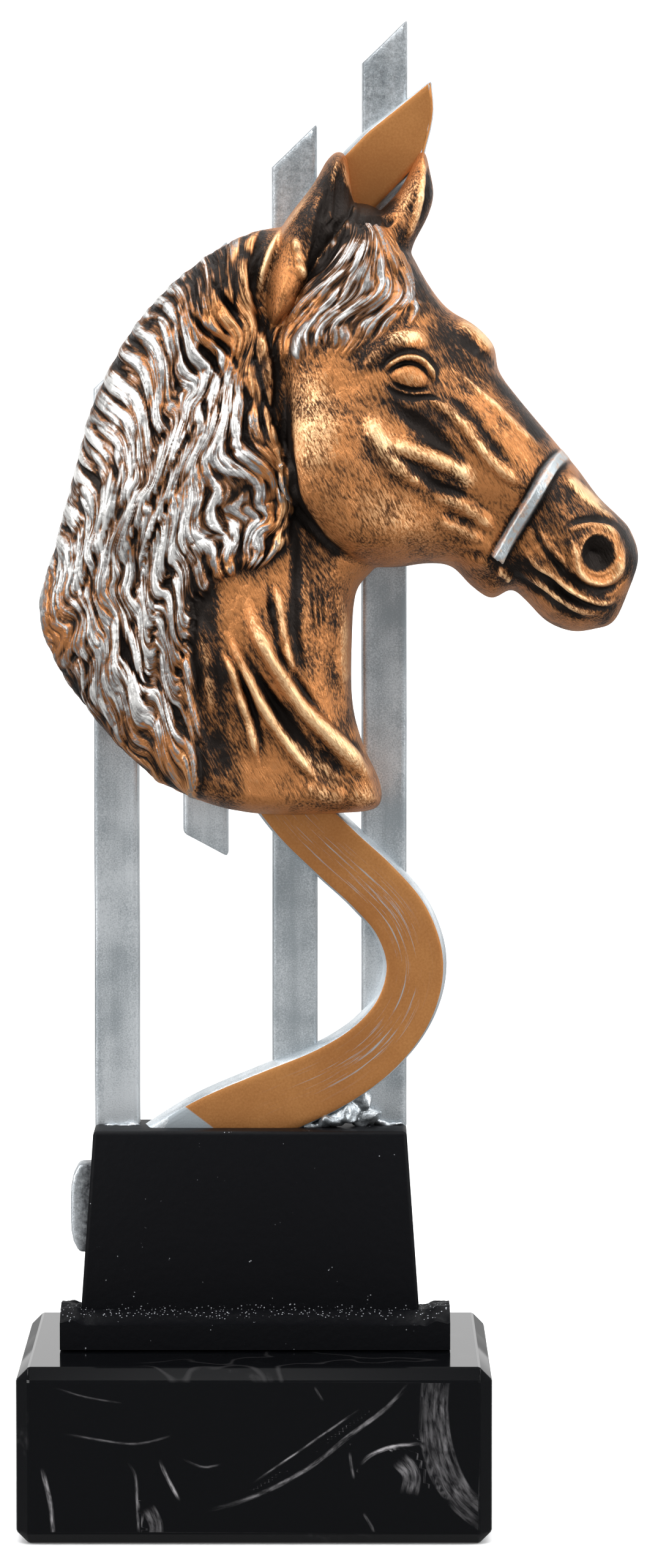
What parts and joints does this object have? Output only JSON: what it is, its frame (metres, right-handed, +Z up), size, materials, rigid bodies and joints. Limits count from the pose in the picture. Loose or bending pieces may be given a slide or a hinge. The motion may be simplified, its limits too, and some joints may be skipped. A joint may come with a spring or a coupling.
{
  "type": "horse head trophy",
  "caption": "Award figure: a bridled horse head in relief before upright bars and a winding ribbon, on a tapered foot and a polished stone block.",
  "frame": {"origin": "middle of the marble block's underside", "axes": "+Z up, +X the way the muzzle points, -Y towards the viewer, who sees the head's carved side"},
  "size_m": [0.1051, 0.06, 0.2554],
  "materials": {
    "black_marble": "polished black marble with thin grey veins",
    "painted_resin": "cast resin painted antique bronze, copper, silver and satin black"
  },
  "bodies": {
    "root": {"marble_base": "black_marble", "resin_casting": "painted_resin"}
  },
  "joints": []
}
